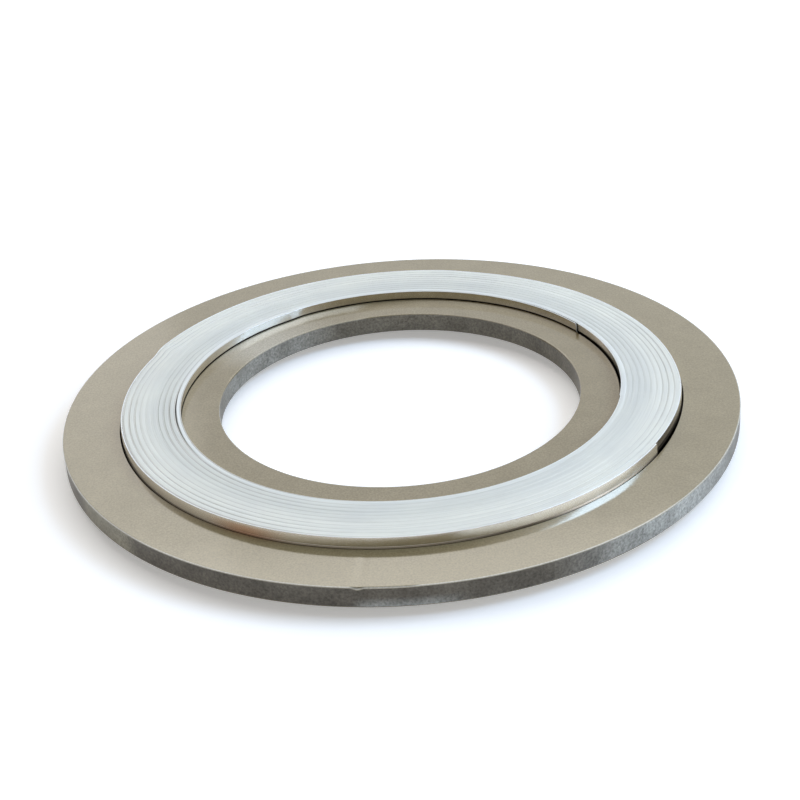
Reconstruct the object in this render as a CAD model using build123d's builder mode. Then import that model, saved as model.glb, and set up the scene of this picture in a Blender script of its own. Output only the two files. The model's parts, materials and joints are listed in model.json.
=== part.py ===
from build123d import *
from math import cos, radians, sin
import os

# Spiral wound gasket with a centring ring and an inner ring.
#
# The sealing element is one metal strip with a V in its section, wound in a
# spiral, with one filler strip wound in between its turns. The winding snaps
# into a V-groove in the bore of the outer ring, and the V-shaped edge of the
# inner ring sits in the hollow of the innermost turn. Millimetres, +Z along the
# gasket's axis, origin at the centre of the lower sealing face.

# ---------------------------------------------------------------- rings
OUTER_DIAMETER = 104.7
BORE_DIAMETER = 56.5
RING_THICKNESS = 3.2
EDGE_BREAK = 0.2

# -------------------------------------------------------------- winding
# The strip is bent to a V over its whole height, with the V's edge outwards.
WINDING_HEIGHT = 6.4
WINDING_OUTER_DIAMETER = 87.0
WINDING_INNER_DIAMETER = 68.3
STRIP_THICKNESS = 0.25
VEE_DEPTH = 0.8
PLY_GAP = 0.03
RING_GAP = 0.15

# --------------------------------------------------------------- spiral
# The strip runs in half turns. Even ones are centred on the gasket's axis,
# and odd ones a little to one side, so that the strip climbs outwards.
HALF_TURN = 180.0
JOIN_AZIMUTH = 66.0
STRIP_START_AZIMUTH = 35.0
STRIP_END_AZIMUTH = 330.0
FILLER_START_AZIMUTH = 126.0
FILLER_END_AZIMUTH = 162.0
LAST_HALF_TURN = 16
FIRST_FILLED = 2
LAST_FILLED = 13

MID_HEIGHT = WINDING_HEIGHT / 2
RING_BOTTOM = MID_HEIGHT - RING_THICKNESS / 2
RING_TOP = MID_HEIGHT + RING_THICKNESS / 2
VEE_SLOPE = VEE_DEPTH / MID_HEIGHT

# A bare ply lies against the next one. A filled one has the filler between.
FIRST_RADIUS = WINDING_INNER_DIAMETER / 2
LAST_RADIUS = WINDING_OUTER_DIAMETER / 2 - STRIP_THICKNESS
BARE_STEP = (STRIP_THICKNESS + PLY_GAP) / 2
FILLED_STEPS = LAST_FILLED - FIRST_FILLED + 1
BARE_STEPS = LAST_HALF_TURN - FILLED_STEPS
FILLED_STEP = (LAST_RADIUS - FIRST_RADIUS - BARE_STEPS * BARE_STEP) / FILLED_STEPS


def step_after(half_turn):
    """How far the strip climbs from one half turn to the next."""
    filled = FIRST_FILLED <= half_turn <= LAST_FILLED
    return FILLED_STEP if filled else BARE_STEP


def radius_of(half_turn):
    """Radius of the strip's inner face at its upper and lower edges."""
    return FIRST_RADIUS + sum(step_after(k) for k in range(half_turn))


def centre_of(half_turn):
    """Centre that a half turn is bent around."""
    if half_turn % 2 == 0:
        return Vector(0, 0, 0)
    offset = step_after(half_turn - 1)
    return Vector(-offset * cos(radians(JOIN_AZIMUTH)), -offset * sin(radians(JOIN_AZIMUTH)), 0)


def start_of(half_turn):
    """Azimuth at which a half turn starts."""
    return JOIN_AZIMUTH + (HALF_TURN if half_turn % 2 == 0 else 0)


def vee_sector(centre, inner_radius, outer_radius, start, sweep):
    """A band with the strip's V on both walls, between two radii, over part of a turn."""
    facing = Vector(cos(radians(start)), sin(radians(start)), 0)
    section_plane = Plane(origin=centre, x_dir=facing, z_dir=facing.cross(Vector(0, 0, 1)))
    with BuildPart() as sector:
        with BuildSketch(section_plane):
            with BuildLine():
                Polyline(
                    (inner_radius, 0),
                    (outer_radius, 0),
                    (outer_radius + VEE_DEPTH, MID_HEIGHT),
                    (outer_radius, WINDING_HEIGHT),
                    (inner_radius, WINDING_HEIGHT),
                    (inner_radius + VEE_DEPTH, MID_HEIGHT),
                    close=True,
                )
            make_face()
        revolve(axis=Axis(centre, (0, 0, 1)), revolution_arc=sweep)
    return sector.part


def strip_bend(half_turn, start, sweep):
    """One bend of the metal strip."""
    radius = radius_of(half_turn)
    return vee_sector(centre_of(half_turn), radius, radius + STRIP_THICKNESS, start, sweep)


def filler_bend(half_turn):
    """A half turn of filler, between a half turn of strip and the one outside it."""
    inner_radius = radius_of(half_turn) + STRIP_THICKNESS
    outer_radius = radius_of(half_turn + 2)
    return vee_sector(centre_of(half_turn), inner_radius, outer_radius, start_of(half_turn), HALF_TURN)


def filler_wedge(half_turn, start, end):
    """A bend of filler between two plies that are bent around different centres."""
    inside_radius = radius_of(half_turn) + STRIP_THICKNESS
    outside_radius = radius_of(half_turn + 2)
    inside = vee_sector(centre_of(half_turn), FIRST_RADIUS / 2, inside_radius, 0, 2 * HALF_TURN)
    outside = vee_sector(centre_of(half_turn + 2), FIRST_RADIUS, outside_radius, start, end - start)
    with BuildPart() as wedge:
        add(outside)
        add(inside, mode=Mode.SUBTRACT)
    return wedge.part


os.makedirs("parts", exist_ok=True)

# ------------------------------------------------------ metal winding strip
# The first and last bends are cut short, where the strip starts and ends.
strip_bends = [strip_bend(0, STRIP_START_AZIMUTH, JOIN_AZIMUTH - STRIP_START_AZIMUTH)]
for half_turn in range(1, LAST_HALF_TURN):
    strip_bends.append(strip_bend(half_turn, start_of(half_turn), HALF_TURN))
last_start = start_of(LAST_HALF_TURN)
strip_bends.append(strip_bend(LAST_HALF_TURN, last_start, STRIP_END_AZIMUTH - last_start))

with BuildPart() as winding_strip:
    add(strip_bends)
winding_strip.part.label = "winding_strip"
export_step(winding_strip.part, "parts/winding_strip.step")

# ------------------------------------------------------------- filler strip
# Its two ends are wedges: one where the strip leaves the ply below it, and one
# where it comes back to it.
first_wedge = FIRST_FILLED - 1
last_wedge = LAST_FILLED
filler_bends = [filler_wedge(first_wedge, FILLER_START_AZIMUTH, JOIN_AZIMUTH + HALF_TURN)]
for half_turn in range(FIRST_FILLED, LAST_FILLED):
    filler_bends.append(filler_bend(half_turn))
filler_bends.append(filler_wedge(last_wedge, JOIN_AZIMUTH, FILLER_END_AZIMUTH))

with BuildPart() as filler_strip:
    add(filler_bends)
filler_strip.part.label = "filler_strip"
export_step(filler_strip.part, "parts/filler_strip.step")

# --------------------------------------------------------------- outer ring
# The groove in its bore is the winding's V, and the lands above and below it
# stand clear of the winding.
winding_outer_radius = WINDING_OUTER_DIAMETER / 2
groove_radius = winding_outer_radius + VEE_DEPTH
land_radius = winding_outer_radius + VEE_SLOPE * RING_BOTTOM + RING_GAP
groove_reach = (groove_radius - land_radius) / VEE_SLOPE

with BuildPart() as outer_ring:
    with BuildSketch(Plane.XZ):
        with BuildLine():
            Polyline(
                (OUTER_DIAMETER / 2, RING_BOTTOM),
                (OUTER_DIAMETER / 2, RING_TOP),
                (land_radius, RING_TOP),
                (land_radius, MID_HEIGHT + groove_reach),
                (groove_radius, MID_HEIGHT),
                (land_radius, MID_HEIGHT - groove_reach),
                (land_radius, RING_BOTTOM),
                close=True,
            )
        make_face()
    revolve(axis=Axis.Z)
    rim_edges = outer_ring.edges().filter_by(GeomType.CIRCLE).sort_by(SortBy.RADIUS)[-2:]
    chamfer(rim_edges, EDGE_BREAK)
outer_ring.part.label = "outer_ring"
export_step(outer_ring.part, "parts/outer_ring.step")

# --------------------------------------------------------------- inner ring
# Its edge is a V that fills the hollow of the innermost turn.
tongue_radius = FIRST_RADIUS + VEE_DEPTH
tongue_face_radius = FIRST_RADIUS + VEE_SLOPE * RING_BOTTOM

with BuildPart() as inner_ring:
    with BuildSketch(Plane.XZ):
        with BuildLine():
            Polyline(
                (BORE_DIAMETER / 2, RING_BOTTOM),
                (tongue_face_radius, RING_BOTTOM),
                (tongue_radius, MID_HEIGHT),
                (tongue_face_radius, RING_TOP),
                (BORE_DIAMETER / 2, RING_TOP),
                close=True,
            )
        make_face()
    revolve(axis=Axis.Z)
    face_edges = inner_ring.edges().filter_by(GeomType.CIRCLE).sort_by(SortBy.RADIUS)[:-1]
    chamfer(face_edges, EDGE_BREAK)
inner_ring.part.label = "inner_ring"
export_step(inner_ring.part, "parts/inner_ring.step")
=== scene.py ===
import json
import math

import bpy
import numpy as np
from mathutils import Matrix, Vector


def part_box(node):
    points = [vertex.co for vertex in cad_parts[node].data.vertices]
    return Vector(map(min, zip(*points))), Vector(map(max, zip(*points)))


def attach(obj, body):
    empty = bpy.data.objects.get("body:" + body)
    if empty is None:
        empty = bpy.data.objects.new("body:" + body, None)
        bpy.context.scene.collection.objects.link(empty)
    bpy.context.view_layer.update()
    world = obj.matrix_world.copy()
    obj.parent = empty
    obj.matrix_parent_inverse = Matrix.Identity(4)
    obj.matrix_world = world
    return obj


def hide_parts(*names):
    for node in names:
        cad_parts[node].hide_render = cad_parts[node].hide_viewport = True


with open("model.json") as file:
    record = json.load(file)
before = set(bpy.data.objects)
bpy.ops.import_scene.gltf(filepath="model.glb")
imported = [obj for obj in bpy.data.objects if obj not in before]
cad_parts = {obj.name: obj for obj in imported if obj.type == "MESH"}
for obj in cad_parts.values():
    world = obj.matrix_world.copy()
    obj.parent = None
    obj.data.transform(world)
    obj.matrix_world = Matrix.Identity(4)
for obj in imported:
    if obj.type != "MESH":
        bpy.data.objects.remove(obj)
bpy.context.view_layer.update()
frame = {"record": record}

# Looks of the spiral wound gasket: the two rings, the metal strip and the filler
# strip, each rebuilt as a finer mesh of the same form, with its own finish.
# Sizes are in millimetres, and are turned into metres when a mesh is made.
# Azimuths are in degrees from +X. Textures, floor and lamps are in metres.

MM = 0.001

# ---------------------------------------------------------------- sizes, from the frame
ring_low, ring_high = (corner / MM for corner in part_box("outer_ring"))
strip_low, strip_high = (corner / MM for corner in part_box("winding_strip"))
mounts = {mount["name"]: mount for mount in frame["record"]["mounts"]}
RIM_RADIUS = mounts["rim"]["dims"]["r_mm"]
BORE_RADIUS = mounts["bore"]["dims"]["r_mm"]
RING_BOTTOM = ring_low.z
RING_TOP = ring_high.z
FACE_BOTTOM = strip_low.z
FACE_TOP = strip_high.z
MID_HEIGHT = (FACE_BOTTOM + FACE_TOP) / 2

# ---------------------------------------------------------------- sizes of the detail
# The strip's section: a V between two lips that are nearly upright. Each lip
# leans a little, and curls back to the ply's radius at its crown.
WINDING_INSIDE = 34.15
WINDING_OUTSIDE = 43.5
VEE_DEPTH = 0.8
LIP_HEIGHT = 1.36
LIP_CROWN = 0.5
LEAN = 0.12
CROWN_LEAN = 0.09
CROWN = FACE_TOP - LIP_CROWN
UPPER_LIP = FACE_TOP - LIP_HEIGHT
VEE_SLOPE = (VEE_DEPTH - LEAN) / (UPPER_LIP - MID_HEIGHT)

# The rings. A rounded edge has a middle point, so far from the two faces it joins.
OUTER_CLEARANCE = 0.1
INNER_CLEARANCE = 0.07
RIM_INSET = 0.02  # keeps the rim inside the CAD box, whose circle has coarser facets
EDGE_BREAK = 0.2
ROUND_NEAR = 0.05
ROUND_FAR = 0.06
GROOVE_BREAK = 0.06
TONGUE_BREAK = 0.08

# The spiral, which has a step for each degree.
TURN = 360
WHOLE_TURNS = 11
FILLED_TURNS = 10
PLY_THICKNESS = 0.2
PLY_EDGE = 0.03
PLY_GAP = 0.025
BOND_GAP = 0.004
STRIP_START = 35.0
STRIP_END = 332.0
FILLER_START = 126.0
FILLER_END = 162.0
FILLER_OVERHANG = 0.5
FILLER_TAPER = 5.0  # degrees in which the gap opens or closes at an end of the filler
LOOSE_START = 0.1  # how far the strip's free inner end stands off the next ply
INSIDE_STEP = 350.5  # from here to the strip's start, the inside has one run-out
INSIDE_PAST_STEP = 0.25

RING_STEPS = 720

SHARP_ANGLE = math.radians(15)
FACE, EDGE = 0, 1  # a piece's finishes: its rolled faces and its cut edges

# How far the winding's edges depart from the round: azimuth, mm outwards.
INSIDE_RUN_OUT = [
    (36, 0.0), (120, 0.0), (124, 0.0), (128, -0.28), (150, -0.32), (172, -0.3), (190, -0.12),
    (210, 0.08), (232, 0.3), (255, 0.42), (335, 0.45), (349, 0.38),
]
OUTSIDE_RUN_OUT = [
    (0, -0.04), (10, -0.2), (20, -0.3), (35, -0.42), (60, -0.38), (77, -0.34), (83, -0.04),
    (120, -0.02), (161, -0.02), (165, -0.55), (172, -0.48), (180, -0.36), (190, -0.27),
    (200, -0.16), (215, -0.06), (235, 0.0), (330, 0.0), (345, -0.04), (356, 0.0),
]


def smoothstep(low, high, value):
    """0 below low, 1 above high, and a smooth rise between them."""
    share = np.clip((value - low) / (high - low), 0, 1)
    return share * share * (3 - 2 * share)


def stretch(starts, full, fades, ends, azimuth):
    """1 along a stretch of azimuths, with a smooth rise before it and a fall after it."""
    return smoothstep(starts, full, azimuth) * (1 - smoothstep(fades, ends, azimuth))


def bump_at(centre, half_width, azimuth):
    """1 at an azimuth, falling smoothly to 0 half a width to either side."""
    away = np.abs((azimuth - centre + 180) % 360 - 180)
    return 1 - smoothstep(0, half_width, away)


def wobble(azimuth, seed, waves):
    """A sum of slow sines of the azimuth, about -1 to 1."""
    rng = np.random.default_rng(seed)
    total = np.zeros_like(azimuth)
    for _ in range(waves):
        count = rng.integers(2, 9)
        total += np.sin(np.radians(azimuth) * count + rng.uniform(0, 2 * math.pi))
    return total / math.sqrt(waves)


def run_out(table, azimuth):
    """A table's departure from the round, made smooth between its azimuths."""
    degrees = np.arange(360)
    place, value = np.array(table).T
    fine = np.interp(degrees, place, value, period=360)
    soft = sum(np.roll(fine, shift) for shift in (-1, 0, 1)) / 3
    return np.interp(azimuth, degrees, soft, period=360)


def vee_at(height):
    """How far the V stands out at a height."""
    return VEE_DEPTH - VEE_SLOPE * abs(height - MID_HEIGHT)


# ---------------------------------------------------------------- mesh making
def sweep_mesh(name, radii, heights, azimuths, closed, column_finishes, marks):
    """A closed section swept around the axis. radii and heights have a row for each azimuth.

    The section runs anticlockwise seen with the axis on the left, so that its faces look out.
    A mark is a number for each point, which the finishes read.
    """
    rows, columns = radii.shape
    angles = np.radians(azimuths)[:, None]
    points = np.stack(
        [radii * np.cos(angles) * MM, radii * np.sin(angles) * MM, heights * MM], axis=-1
    ).reshape(-1, 3)
    row = np.arange(rows if closed else rows - 1)[:, None]
    next_row = (row + 1) % rows
    column = np.arange(columns)
    next_column = (column + 1) % columns
    corners = [
        row * columns + column,
        next_row * columns + column,
        next_row * columns + next_column,
        row * columns + next_column,
    ]
    faces = np.stack(corners, axis=-1).reshape(-1, 4).tolist()
    finishes = list(column_finishes) * len(row)
    if not closed:
        last_row = (rows - 1) * columns
        faces.append(list(range(columns)))
        faces.append([last_row + c for c in reversed(range(columns))])
        finishes += [EDGE] * 2
    mesh = bpy.data.meshes.new(name)
    mesh.from_pydata(points.tolist(), [], faces)
    mesh.polygons.foreach_set("material_index", finishes)
    mesh.polygons.foreach_set("use_smooth", [True] * len(faces))
    mesh.set_sharp_from_angle(angle=SHARP_ANGLE)
    for mark, values in marks.items():
        attribute = mesh.attributes.new(mark, "FLOAT", "POINT")
        attribute.data.foreach_set("value", np.broadcast_to(values, radii.shape).ravel())
    mesh.update()
    piece = bpy.data.objects.new(name, mesh)
    bpy.context.scene.collection.objects.link(piece)
    return piece


# ---------------------------------------------------------------- the spiral
def spiral():
    """The winding by degrees: azimuth, inner radius of the ply, gap outside it, open slot.

    The slot is the part of the gap that the filler leaves open. The two last values are
    the azimuths at which the filler starts and ends.
    """
    filler_from = FILLER_START
    filler_to = FILLER_END + TURN * FILLED_TURNS
    azimuths = np.arange(STRIP_START, STRIP_END + TURN * WHOLE_TURNS + 0.5)
    count = len(azimuths)
    opens = filler_from - FILLER_OVERHANG
    closes = filler_to + FILLER_OVERHANG
    filled = stretch(opens, opens + FILLER_TAPER, closes - FILLER_TAPER, closes, azimuths)
    loose = LOOSE_START * (azimuths < STRIP_START + TURN)
    loose *= 1 - smoothstep(STRIP_START + 4, STRIP_START + 45, azimuths)

    place = azimuths[:TURN]
    inside = run_out(INSIDE_RUN_OUT, place)
    inside = WINDING_INSIDE + np.where(place < INSIDE_STEP, inside, INSIDE_PAST_STEP)
    outside = WINDING_OUTSIDE + 0.015 * wobble(place, 21, 5) + run_out(OUTSIDE_RUN_OUT, place)
    step = (PLY_THICKNESS + PLY_GAP) * (place > STRIP_END)
    outside -= step * (1 - smoothstep(STRIP_END + 1, STRIP_END + 22, place))

    radii = np.zeros(count)
    gaps = np.zeros(count)
    for start in range(TURN):
        along = np.arange(start, count, TURN)
        between = along[:-1]
        bare = inside[start] + len(along) * PLY_THICKNESS
        bare += (PLY_GAP + loose[between]).sum()
        width = (outside[start] - bare) / filled[between].sum()
        gaps[between] = PLY_GAP + loose[between] + width * filled[between]
        climb = np.cumsum(PLY_THICKNESS + gaps[between])
        radii[along] = inside[start] + np.concatenate([[0], climb])

    turns = (azimuths - STRIP_START) / TURN
    first, inner, outer = turns < 1, (turns >= 1) & (turns < 4), turns > 7
    left, right = bump_at(205, 60, azimuths), bump_at(350, 60, azimuths)
    slots = 0.15 * first * bump_at(205, 48, azimuths) + 0.03 * inner * left
    slots += 0.018 * outer * (left + right) + 0.004
    slots *= 1 + 0.3 * wobble(azimuths, 13, 6)
    return azimuths, radii, gaps, np.clip(slots, 0.003, None), filler_from, filler_to


ply_azimuths, ply_radii, ply_gaps, ply_slots, filler_from, filler_to = spiral()


def across_face(radii):
    """0 at the inside of the winding, 1 at its outside."""
    return (radii - WINDING_INSIDE) / (WINDING_OUTSIDE - WINDING_INSIDE)


def clearness(radii, where):
    """How clearly the lines between the turns show: less where the face has been rubbed."""
    left, right, front = 203, 350, 260
    across = across_face(radii)
    inner = 1 - smoothstep(0.1, 0.5, across)
    outer = smoothstep(0.45, 0.8, across)
    clear = 0.12 + 0.9 * inner * bump_at(left, 75, where) + 0.75 * outer * bump_at(left, 85, where)
    clear += 0.5 * outer * bump_at(right, 75, where) + 0.15 * bump_at(front, 60, where)
    return np.clip(clear + 0.12 * wobble(where * 1.0, 31, 6), 0, 1)


def winding_strip():
    """The metal strip: two lips with a V between them, wound in the spiral."""
    where = ply_azimuths
    turn = np.floor((where - STRIP_START) / TURN)
    settle = 0.012 + 0.01 * wobble(turn * 97.0, 3, 5) + 0.006 * wobble(where, 5, 6)
    settle = np.clip(settle, 0, 0.04)
    low, high = settle[::-1], -settle
    t, edge = PLY_THICKNESS, PLY_EDGE
    # Each point of the section: radius over the ply's inner radius, height, how it
    # settles, finish of the face that follows, 1 on the outer side, share of the tint.
    section = [
        (edge, FACE_BOTTOM, low, EDGE, 0, 0),
        (t - edge, FACE_BOTTOM, low, EDGE, 0, 0),
        (t, FACE_BOTTOM + edge, low, FACE, 1, 0),
        (t + CROWN_LEAN, LIP_CROWN, 0, FACE, 1, 0),
        (t + LEAN, LIP_HEIGHT, 0, FACE, 1, 0),
        (t + VEE_DEPTH, MID_HEIGHT, 0, FACE, 1, 1),
        (t + LEAN, UPPER_LIP, 0, FACE, 1, 1),
        (t + CROWN_LEAN, CROWN, 0, FACE, 1, 0.8),
        (t, FACE_TOP - edge, high, EDGE, 1, 0),
        (t - edge, FACE_TOP, high, EDGE, 0, 0),
        (edge, FACE_TOP, high, EDGE, 0, 0),
        (0.0, FACE_TOP - edge, high, FACE, 0, 0),
        (CROWN_LEAN, CROWN, 0, FACE, 0, 0),
        (LEAN, UPPER_LIP, 0, FACE, 0, 0),
        (VEE_DEPTH, MID_HEIGHT, 0, FACE, 0, 0),
        (LEAN, LIP_HEIGHT, 0, FACE, 0, 0),
        (CROWN_LEAN, LIP_CROWN, 0, FACE, 0, 0),
        (0.0, FACE_BOTTOM + edge, low, EDGE, 0, 0),
    ]
    offsets, levels, settling, finishes, outer_side, tinted = zip(*section)
    radii = np.stack([ply_radii + offset for offset in offsets], axis=1)
    heights = np.stack([z + sunk + 0 * where for z, sunk in zip(levels, settling)], axis=1)
    outermost = where > where[-1] - TURN
    place = where % TURN
    past_end = (place > STRIP_END) * (1 - smoothstep(STRIP_END + 8, STRIP_END + 22, place))
    # The tint, the stretch where the V has no painted shade, and the painted shade past the
    # strip's end are where the photograph shows them.
    marks = {
        "clear": (clearness(ply_radii, where) * (1 - outermost))[:, None],
        "across": np.maximum(across_face(ply_radii), outermost)[:, None],
        "tint": (outermost * bump_at(246, 11, where))[:, None] * np.array(tinted),
        "clean": bump_at(316, 18, where)[:, None],
        "shade": (outermost * past_end)[:, None] * np.array(outer_side),
    }
    return sweep_mesh("wound_strip", radii, heights, where, False, finishes, marks)


def filler_strip():
    """The filler, pressed between the turns of the strip."""
    chosen = (ply_azimuths >= filler_from) & (ply_azimuths <= filler_to)
    where = ply_azimuths[chosen]
    inner = (ply_radii + PLY_THICKNESS)[chosen] + BOND_GAP
    width = ply_gaps[chosen] - BOND_GAP - ply_slots[chosen]
    turn = np.floor((where - STRIP_START) / TURN)
    settle = 0.012 + 0.008 * wobble(turn * 61.0, 8, 5) + 0.006 * wobble(where, 9, 6)
    settle = np.clip(settle, 0.002, 0.04)
    # Each point of the section: share of the width, extra radius, height, how far it
    # is pressed in.
    section = [
        (0.0, 0.0, FACE_BOTTOM, 0.025),
        (0.15, 0.0, FACE_BOTTOM, 0.01),
        (0.5, 0.0, FACE_BOTTOM, 0.005),
        (0.86, 0.0, FACE_BOTTOM, 0.01),
        (1.0, 0.0, FACE_BOTTOM, 0.06),
        (1.0, CROWN_LEAN, LIP_CROWN, 0),
        (1.0, LEAN, LIP_HEIGHT, 0),
        (1.0, VEE_DEPTH, MID_HEIGHT, 0),
        (1.0, LEAN, UPPER_LIP, 0),
        (1.0, CROWN_LEAN, CROWN, 0),
        (1.0, 0.0, FACE_TOP, -0.06),
        (0.86, 0.0, FACE_TOP, -0.01),
        (0.5, 0.0, FACE_TOP, -0.005),
        (0.15, 0.0, FACE_TOP, -0.01),
        (0.0, 0.0, FACE_TOP, -0.025),
        (0.0, CROWN_LEAN, CROWN, 0),
        (0.0, LEAN, UPPER_LIP, 0),
        (0.0, VEE_DEPTH, MID_HEIGHT, 0),
        (0.0, LEAN, LIP_HEIGHT, 0),
        (0.0, CROWN_LEAN, LIP_CROWN, 0),
    ]
    clear = clearness(inner, where)
    depth = 0.3 + 0.7 * clear
    radii = np.stack([inner + share * width + extra for share, extra, _, _ in section], axis=1)
    heights = np.stack(
        [z + depth * (pressed + np.sign(pressed) * settle) for _, _, z, pressed in section], axis=1
    )
    marks = {"clear": clear[:, None], "across": across_face(inner)[:, None]}
    finishes = [FACE] * len(section)
    return sweep_mesh("wound_filler", radii, heights, where, False, finishes, marks)


# ---------------------------------------------------------------- the rings
RING_AZIMUTHS = np.arange(RING_STEPS) * 360 / RING_STEPS


def lathe(name, section, marks):
    """A ring turned from a section of (radius, height, finish of the face that follows)."""
    still = 0 * RING_AZIMUTHS
    radii = np.stack([r + still for r, _, _ in section], axis=1)
    heights = np.stack([z + still for _, z, _ in section], axis=1)
    finishes = [finish for _, _, finish in section]
    return sweep_mesh(name, radii, heights, RING_AZIMUTHS, True, finishes, marks)


def outer_ring():
    """The centring ring: a flat ring with a groove in its bore."""
    r, z0, z1, b = RIM_RADIUS - RIM_INSET, RING_BOTTOM, RING_TOP, EDGE_BREAK
    where = RING_AZIMUTHS
    groove = WINDING_OUTSIDE + OUTER_CLEARANCE
    groove = groove + 0.9 * np.minimum(run_out(OUTSIDE_RUN_OUT, where - 2), 0)
    nick = 0.28 * bump_at(268.5, 1.0, where) + 0.05 * stretch(268, 269, 276, 277.5, where)
    section = [
        (r - b, z0, FACE),
        (r - ROUND_FAR, z0 + ROUND_NEAR, FACE),
        (r, z0 + b, EDGE),
        (r, MID_HEIGHT, EDGE),
        (r, z1 - b - nick, FACE),
        (r - ROUND_NEAR, z1 - ROUND_FAR - nick, FACE),
        (r - b, z1 - 0.3 * nick, FACE),
        (groove + vee_at(z1) + GROOVE_BREAK, z1, EDGE),
        (groove + vee_at(z1 - GROOVE_BREAK), z1 - GROOVE_BREAK, EDGE),
        (groove + VEE_DEPTH, MID_HEIGHT, EDGE),
        (groove + vee_at(z0 + GROOVE_BREAK), z0 + GROOVE_BREAK, EDGE),
        (groove + vee_at(z0) + GROOVE_BREAK, z0, FACE),
    ]
    point = np.arange(len(section))
    lower_edge = 1.0 * (point <= 2)
    upper_round = 1.0 * (point == 5)  # the middle of the rim's rounded upper edge, painted paler as a highlight
    # Painted light: the rim's pale grey stretch from azimuth 294 to 350 stands in for light and
    # reflection from the right. The rim's lower edge near azimuth 270 is scraped, which is wear.
    cool = 0.85 * stretch(294, 318, 322, 350, where)
    scraped = 0.6 * stretch(267, 270, 279, 285, where)
    marks = {
        "cool": np.maximum(cool[:, None], scraped[:, None] * lower_edge),
        "warm": 0.7 * stretch(213, 217, 228, 232, where)[:, None],
        "worn": upper_round,
    }
    return lathe("centring_ring", section, marks)


def inner_ring():
    """The inner ring: a flat ring whose outer edge is a V."""
    r, z0, z1, b = BORE_RADIUS, RING_BOTTOM, RING_TOP, EDGE_BREAK
    where = RING_AZIMUTHS
    tongue = WINDING_INSIDE - INNER_CLEARANCE + np.minimum(run_out(INSIDE_RUN_OUT, where), 0)
    section = [
        (r + b, z0, FACE),
        (tongue + vee_at(z0) - TONGUE_BREAK, z0, EDGE),
        (tongue + vee_at(z0 + TONGUE_BREAK), z0 + TONGUE_BREAK, EDGE),
        (tongue + VEE_DEPTH, MID_HEIGHT, EDGE),
        (tongue + vee_at(z1 - TONGUE_BREAK), z1 - TONGUE_BREAK, EDGE),
        (tongue + vee_at(z1) - TONGUE_BREAK, z1, FACE),
        (r + b, z1, FACE),
        (r + ROUND_NEAR, z1 - ROUND_FAR, FACE),
        (r, z1 - b, EDGE),
        (r, z0 + b, EDGE),
        (r + ROUND_FAR, z0 + ROUND_NEAR, EDGE),
    ]
    # Painted light: the paler edges from azimuth 112 to 185. Painted reflection: the pale patch on
    # the faces from 112 to 166. The warm share is the edges' own browner tone.
    marks = {
        "cool": 0.4 * stretch(112, 135, 165, 185, where)[:, None],
        "warm": 0.15,
        "worn": 0.5 * stretch(112, 144, 148, 166, where)[:, None],
    }
    return lathe("lining_ring", section, marks)


# ---------------------------------------------------------------- node making
class Nodes:
    """A node tree, and short ways to add to it. An input is a node's output or a constant."""

    def __init__(self, tree):
        self.tree = tree

    def add(self, kind, **values):
        node = self.tree.nodes.new(kind)
        for key, value in values.items():
            setattr(node, key, value)
        return node

    def put(self, value, into):
        """Link an output into a socket, or set the socket's own constant."""
        if isinstance(value, bpy.types.NodeSocket):
            self.tree.links.new(value, into)
        else:
            into.default_value = value

    def put_all(self, values, sockets):
        for value, socket in zip(values, sockets):
            self.put(value, socket)

    def maths(self, operation, *values):
        node = self.add("ShaderNodeMath", operation=operation)
        self.put_all(values, node.inputs)
        return node.outputs["Value"]

    def vector_maths(self, operation, *values):
        node = self.add("ShaderNodeVectorMath", operation=operation)
        self.put_all(values, node.inputs)
        return node.outputs["Vector" if operation == "MULTIPLY" else "Value"]

    def parts(self, vector):
        node = self.add("ShaderNodeSeparateXYZ")
        self.put(vector, node.inputs[0])
        return node.outputs

    def span(self, value, low, high, start=0.0, end=1.0, interpolation="LINEAR"):
        """low where the value is at its start, high where it is at its end."""
        node = self.add("ShaderNodeMapRange", interpolation_type=interpolation)
        names = ("Value", "From Min", "From Max", "To Min", "To Max")
        self.put_all((value, start, end, low, high), [node.inputs[name] for name in names])
        return node.outputs["Result"]

    def mix(self, fac, first, second, blend="MIX", kind="RGBA"):
        node = self.add("ShaderNodeMix", data_type=kind, blend_type=blend)
        self.put_all((fac, first, second), [node.inputs[name] for name in ("Factor", "A", "B")])
        return node.outputs["Result"]

    def ramp(self, fac, stops):
        node = self.add("ShaderNodeValToRGB")
        elements = node.color_ramp.elements
        while len(elements) < len(stops):
            elements.new(0.5)
        for element, (position, colour) in zip(elements, stops):
            element.position = position
            element.color = (*colour, 1.0)
        self.put(fac, node.inputs["Fac"])
        return node.outputs["Color"]

    def seen_directly(self):
        """1 for a camera, glossy or transmission ray, else 0."""
        ray = self.add("ShaderNodeLightPath").outputs
        first = self.maths("MAXIMUM", ray["Is Camera Ray"], ray["Is Glossy Ray"])
        return self.maths("MAXIMUM", first, ray["Is Transmission Ray"])


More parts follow.
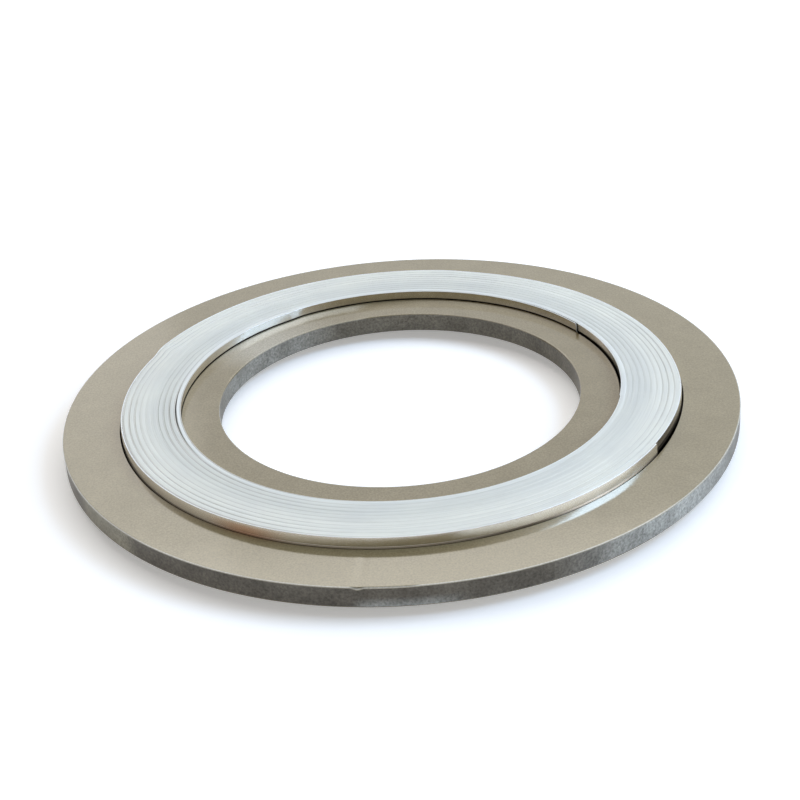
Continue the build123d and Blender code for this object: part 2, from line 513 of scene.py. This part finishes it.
class Finish(Nodes):
    """A material with a Principled shader."""

    def __init__(self, name):
        self.material = bpy.data.materials.new(name)
        self.material.use_nodes = True
        super().__init__(self.material.node_tree)
        self.place = self.add("ShaderNodeTexCoord").outputs["Object"]

    def around(self, across, along):
        """Coordinates that draw a noise out into lines around the axis, in waves a metre."""
        radius = self.vector_maths("LENGTH", self.vector_maths("MULTIPLY", self.place, (1, 1, 0)))
        x, y, _ = self.parts(self.vector_maths("MULTIPLY", self.place, (along, along, 0)))
        joined = self.add("ShaderNodeCombineXYZ")
        self.put_all((x, y, self.maths("MULTIPLY", radius, across)), joined.inputs)
        return joined.outputs["Vector"]

    def above(self, low, high):
        """0 nearer the mid height than low, 1 farther from it than high, in mm."""
        height = self.parts(self.place)["Z"]
        away = self.maths("ABSOLUTE", self.maths("SUBTRACT", height, MID_HEIGHT * MM))
        return self.span(away, 0.0, 1.0, low * MM, high * MM)

    def mark(self, name):
        """One of the mesh's own marks, 0 to 1."""
        return self.add("ShaderNodeAttribute", attribute_name=name).outputs["Fac"]

    def noise(self, place, per_metre, detail, roughness=0.5):
        node = self.add("ShaderNodeTexNoise")
        names = ("Vector", "Scale", "Detail", "Roughness")
        values = (place, per_metre, detail, roughness)
        self.put_all(values, [node.inputs[name] for name in names])
        return node.outputs["Fac"]

    def bump(self, height, depth_mm, strength):
        node = self.add("ShaderNodeBump")
        names = ("Height", "Distance", "Strength")
        values = (height, depth_mm * MM, strength)
        self.put_all(values, [node.inputs[name] for name in names])
        return node.outputs["Normal"]

    def finish(self, values):
        """Give the shader its inputs, by name."""
        shader = self.tree.nodes["Principled BSDF"]
        self.put_all(values.values(), [shader.inputs[name] for name in values])
        return self.material


# ---------------------------------------------------------------- finishes
WHITE = (1, 1, 1)


def ring_face_material(name, dark, light, metallic, index):
    """The flat face of a ring: dull khaki, finely grained and faintly mottled, and paler where a
    highlight is painted on.
    """
    m = Finish(name)
    mottle = m.noise(m.place, 210, 3.0)
    grain = m.noise(m.place, 3800, 2.0)
    tone = m.ramp(mottle, [(0.3, dark), (0.7, light)])
    speck = m.ramp(grain, [(0.25, (0.76, 0.75, 0.73)), (0.75, (1.16, 1.16, 1.16))])
    colour = m.mix(1.0, tone, speck, "MULTIPLY")
    # the paler colour of the painted highlight
    bright = m.ramp(grain, [(0.3, (0.46, 0.44, 0.37)), (0.7, (0.66, 0.64, 0.57))])
    return m.finish({
        "Base Color": m.mix(m.mark("worn"), colour, bright),
        "Roughness": m.span(mottle, 0.09, 0.14),
        "Metallic": metallic,
        "IOR": index,
        "Normal": m.bump(grain, 0.006, 0.25),
    })


def ring_edge_material():
    """The cut edges of the rings: darker, coarse and granular, paler grey where light is painted
    on and on a scrape, and warmer and paler where rubbed.
    """
    m = Finish("ring_edge")
    mottle = m.noise(m.place, 300, 3.0)
    grain = m.noise(m.place, 2600, 3.0, 0.6)
    tone = m.ramp(mottle, [(0.3, (0.095, 0.082, 0.064)), (0.7, (0.145, 0.128, 0.102))])
    # pale grey for painted light, and for the scrape on the rim's lower edge
    cool = m.ramp(mottle, [(0.3, (0.34, 0.345, 0.325)), (0.7, (0.52, 0.53, 0.51))])
    warm = m.ramp(mottle, [(0.3, (0.27, 0.25, 0.19)), (0.7, (0.35, 0.325, 0.25))])
    tone = m.mix(m.mark("cool"), m.mix(m.mark("warm"), tone, warm), cool)
    speck = m.ramp(grain, [(0.3, (0.55, 0.55, 0.53)), (0.7, (1.4, 1.4, 1.4))])
    return m.finish({
        "Base Color": m.mix(1.0, tone, speck, "MULTIPLY"),
        "Roughness": m.span(grain, 0.35, 0.6),
        "Metallic": 0.5,
        "Normal": m.bump(grain, 0.05, 0.6),
    })


def strip_face_material():
    """Bright cold rolled stainless strip: painted shade in its V and past the strip's end, with a
    straw tint at one place.
    """
    m = Finish("bright_strip")
    mottle = m.noise(m.place, 260, 3.0)
    tone = m.ramp(mottle, [(0.3, (0.82, 0.78, 0.71)), (0.7, (0.90, 0.86, 0.79))])
    tint = m.ramp(m.mark("tint"), [(0.0, WHITE), (1.0, (0.86, 0.58, 0.46))])
    # painted shade on the V between the lips, darkest near the mid height
    painted_crevice_shade = m.ramp(m.above(1.78, 1.9), [(0.0, (0.17, 0.15, 0.12)), (1.0, WHITE)])
    # the tone where the painted shade of the V is left off
    unshaded = m.ramp(mottle, [(0.3, (0.9, 0.9, 0.9)), (0.7, WHITE)])
    shade = m.ramp(m.mark("shade"), [(0.0, WHITE), (1.0, (0.22, 0.20, 0.18))])
    colour = tone
    for layer in (tint, m.mix(m.mark("clean"), painted_crevice_shade, unshaded), shade):
        colour = m.mix(1.0, colour, layer, "MULTIPLY")
    return m.finish({
        "Base Color": colour,
        "Roughness": m.span(m.above(1.7, 2.1), 0.15, 0.2),
        "Metallic": 1.0,
    })


def rubbed_tone(m):
    """The white of the face: a little greyer inside, drawn into faint lines around."""
    tone = m.ramp(
        m.mark("across"),
        [
            (0.02, (0.78, 0.80, 0.78)),
            (0.10, (0.655, 0.672, 0.632)),
            (0.35, (0.655, 0.672, 0.632)),
            (0.58, (0.745, 0.755, 0.700)),
            (0.95, (0.745, 0.755, 0.700)),
            (1.00, (0.86, 0.87, 0.85)),
        ],
    )
    streak = m.noise(m.around(2400, 60), 1.0, 3.0)
    hair = m.noise(m.around(7000, 130), 1.0, 2.0)
    patch = m.noise(m.place, 150, 2.0)
    for noise, low, high in (
        (streak, (0.93, 0.935, 0.94), (1.05, 1.05, 1.05)),
        (hair, (0.96, 0.96, 0.96), (1.03, 1.03, 1.03)),
        (patch, (0.96, 0.965, 0.98), (1.02, 1.02, 1.01)),
    ):
        tone = m.mix(1.0, tone, m.ramp(noise, [(0.3, low), (0.7, high)]), "MULTIPLY")
    return tone, streak


def strip_edge_material():
    """The slit edges of the strip: steel lines where clear, smeared white where rubbed."""
    m = Finish("strip_edge")
    rubbed, streak = rubbed_tone(m)
    steel = m.ramp(streak, [(0.3, (0.34, 0.345, 0.34)), (0.7, (0.48, 0.485, 0.48))])
    clear = m.mark("clear")
    return m.finish({
        "Base Color": m.mix(clear, rubbed, steel),
        "Roughness": m.span(streak, 0.3, 0.45),
        "Metallic": m.span(clear, 0.1, 1.0),
    })


def filler_material():
    """Soft white filler."""
    m = Finish("white_filler")
    rubbed, streak = rubbed_tone(m)
    return m.finish({
        "Base Color": rubbed,
        "Roughness": m.span(streak, 0.35, 0.5),
        "Metallic": 0.0,
        "Normal": m.bump(streak, 0.01, 0.3),
    })


# ---------------------------------------------------------------- camera
CAMERA_PLACE = (22.98, -205.06, 114.70)
CAMERA_ROLL = math.radians(-4.16)
LENS = 67.0
camera = bpy.data.objects.new("camera", bpy.data.cameras.new("camera"))
bpy.context.scene.collection.objects.link(camera)
bpy.context.scene.camera = camera
camera.data.lens = LENS
camera.data.clip_start = 0.01
camera.location = Vector(CAMERA_PLACE) * MM
look = Vector((0, 0, MID_HEIGHT * MM)) - camera.location
camera.rotation_mode = "QUATERNION"
camera.rotation_quaternion = (
    look.to_track_quat("-Z", "Y") @ Matrix.Rotation(CAMERA_ROLL, 3, "Z").to_quaternion()
)

# ---------------------------------------------------------------- pieces
ring_edge = ring_edge_material()
outer_face = ring_face_material(
    "outer_ring_face", (0.236, 0.193, 0.103), (0.266, 0.220, 0.122), metallic=0.15, index=2.2
)
inner_face = ring_face_material(
    "inner_ring_face", (0.232, 0.188, 0.104), (0.266, 0.218, 0.126), metallic=0.08, index=1.85
)
strip_finishes = [strip_face_material(), strip_edge_material()]
made = [
    (outer_ring(), "outer_ring", "outer_ring_steel", [outer_face, ring_edge]),
    (inner_ring(), "inner_ring", "inner_ring_steel", [inner_face, ring_edge]),
    (winding_strip(), "winding_strip", "winding_steel", strip_finishes),
    (filler_strip(), "filler_strip", "filler", [filler_material()] * 2),
]
for piece, node, slot, finishes in made:
    for finish in finishes:
        piece.data.materials.append(finish)
    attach(piece, "root")
    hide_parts(node)
    print("PIECE", piece.name, "triangles", sum(len(p.vertices) - 2 for p in piece.data.polygons))

# ---------------------------------------------------------------- floor
# It is pale to the rays that see it and grey as a light on the gasket. Far away it
# glows more, so that it meets the white background.
FLOOR_HALF = 4.0
FLOOR_DROP = 0.00002
FLOOR_AS_LIGHT = (0.35, 0.35, 0.35, 1)
FLOOR_SEEN = (0.93, 0.93, 0.93, 1)
GLOW_STARTS, GLOW_ENDS = 0.3, 1.0  # metres from the gasket's axis
GLOW_NEAR, GLOW_FAR = 0.3, 1.0

half = FLOOR_HALF
floor_mesh = bpy.data.meshes.new("floor")
floor_mesh.from_pydata(
    [(-half, -half, 0), (half, -half, 0), (half, half, 0), (-half, half, 0)], [], [(0, 1, 2, 3)]
)
floor = bpy.data.objects.new("floor", floor_mesh)
floor.location.z = -FLOOR_DROP
bpy.context.scene.collection.objects.link(floor)
pale = Finish("floor")
seen = pale.seen_directly()
away = pale.vector_maths("LENGTH", pale.place)
glow = pale.span(away, GLOW_NEAR, GLOW_FAR, GLOW_STARTS, GLOW_ENDS)
floor_mesh.materials.append(pale.finish({
    "Base Color": pale.mix(seen, FLOOR_AS_LIGHT, FLOOR_SEEN),
    "Roughness": 0.9,
    "Specular IOR Level": 0.1,
    "Emission Color": (1, 1, 1, 1),
    "Emission Strength": pale.maths("MULTIPLY", seen, glow),
}))

# ---------------------------------------------------------------- world
# The room is dark at the near left and bright elsewhere, and bright all around near
# the horizon. It is white to the camera, and weaker as a light than as a reflection.
DARK_SIDE = (-0.5, -0.87, 0.0)
UPWARDS = (0.3, 0.0, 1.0)
LIGHT_SHARE = 0.6

world = bpy.data.worlds.new("world")
bpy.context.scene.world = world
world.use_nodes = True
room = Nodes(world.node_tree)
direction = room.add("ShaderNodeTexCoord").outputs["Generated"]
sideways = room.vector_maths("DOT_PRODUCT", direction, DARK_SIDE)
height = room.vector_maths("DOT_PRODUCT", direction, UPWARDS)
walls = room.span(sideways, 1.0, 0.1, -0.2, 0.5, "SMOOTHSTEP")
horizon = room.span(height, 1.0, 0.0, 0.14, 0.46, "SMOOTHSTEP")
bright = room.maths("MAXIMUM", walls, horizon)
as_light = room.maths("MULTIPLY", bright, LIGHT_SHARE)
strength = room.mix(room.seen_directly(), as_light, bright, kind="FLOAT")
camera_ray = room.add("ShaderNodeLightPath").outputs["Is Camera Ray"]
strength = room.mix(camera_ray, strength, 1.0, kind="FLOAT")
tone = room.ramp(strength, [(0.12, (1.0, 0.86, 0.70)), (0.6, WHITE)])
background = room.tree.nodes["Background"]
room.put(strength, background.inputs["Strength"])
room.put(tone, background.inputs["Color"])


# ---------------------------------------------------------------- lamps
def softbox(name, azimuth, elevation, distance, size, watts, colour):
    """A rectangular area light that faces the gasket."""
    data = bpy.data.lights.new(name, "AREA")
    data.shape = "RECTANGLE"
    data.size, data.size_y = size
    data.energy = watts
    data.color = colour
    lamp = bpy.data.objects.new(name, data)
    bpy.context.scene.collection.objects.link(lamp)
    a, e = math.radians(azimuth), math.radians(elevation)
    towards = Vector((math.cos(a) * math.cos(e), math.sin(a) * math.cos(e), math.sin(e)))
    lamp.location = towards * distance
    lamp.rotation_mode = "QUATERNION"
    lamp.rotation_quaternion = (-towards).to_track_quat("-Z", "Y")


WARM_WHITE = (1.0, 0.985, 0.96)
softbox("back", 97, 62, 0.9, (1.2, 0.9), 3.4, WARM_WHITE)
softbox("low", 119, 28, 1.0, (0.36, 0.36), 0.17, WARM_WHITE)
softbox("window", 4, 44, 0.6, (0.30, 0.30), 1.9, (0.50, 0.71, 1.0))
softbox("curtain", -28, 20, 0.6, (0.86, 0.15), 0.82, (0.80, 0.90, 1.0))

bpy.context.scene.view_settings.view_transform = "Standard"
